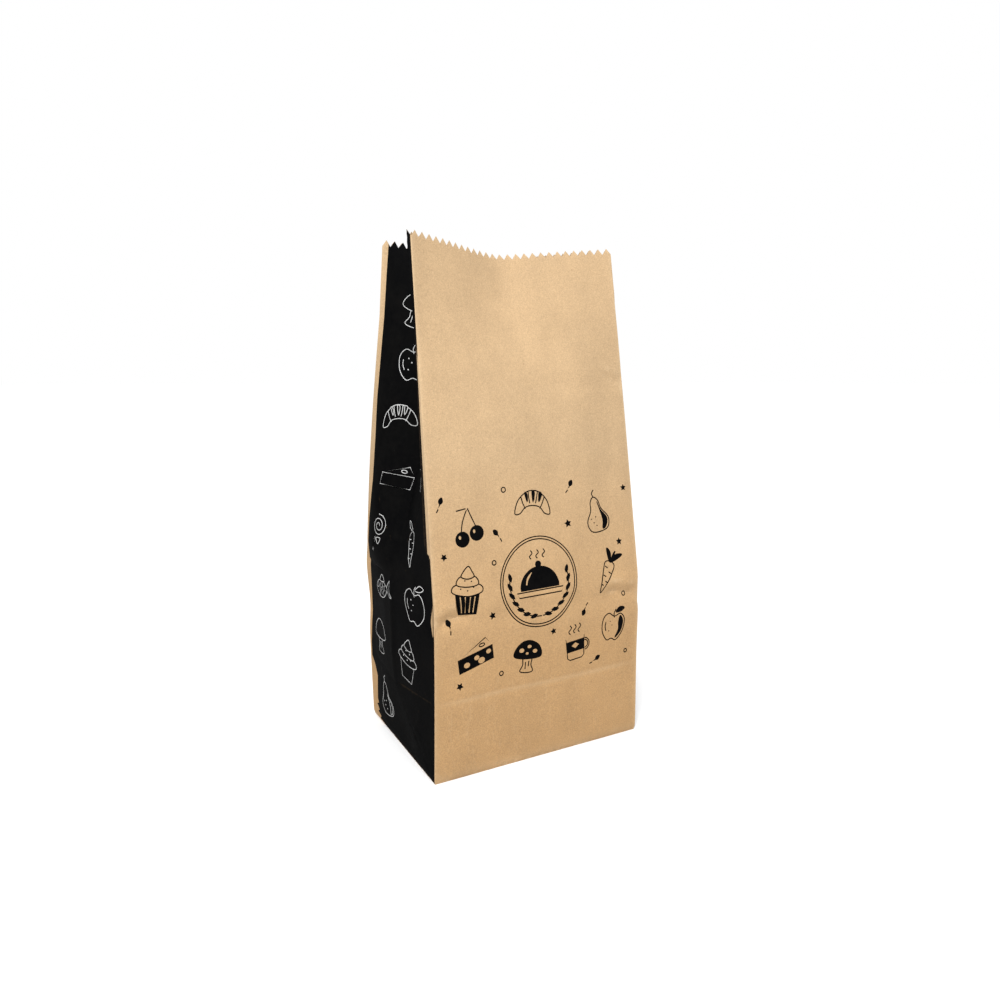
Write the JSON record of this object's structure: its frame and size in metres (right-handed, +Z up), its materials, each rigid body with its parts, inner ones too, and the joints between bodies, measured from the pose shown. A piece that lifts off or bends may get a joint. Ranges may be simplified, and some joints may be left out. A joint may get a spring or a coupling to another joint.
{
  "type": "paper lunch bag",
  "caption": "Upright brown paper lunch bag with side gussets, a folded block bottom and a pinked open mouth.",
  "frame": {"origin": "middle of the folded bottom, on the surface that the bag stands on", "axes": "+Z up towards the mouth, +X along the wide panels, the front panel faces -Y"},
  "size_m": [0.143, 0.0893, 0.2809],
  "materials": {
    "kraft_paper": "uncoated brown kraft paper, printed in black on the front and the gussets"
  },
  "bodies": {
    "root": {"paper_bag": "kraft_paper"}
  },
  "joints": []
}
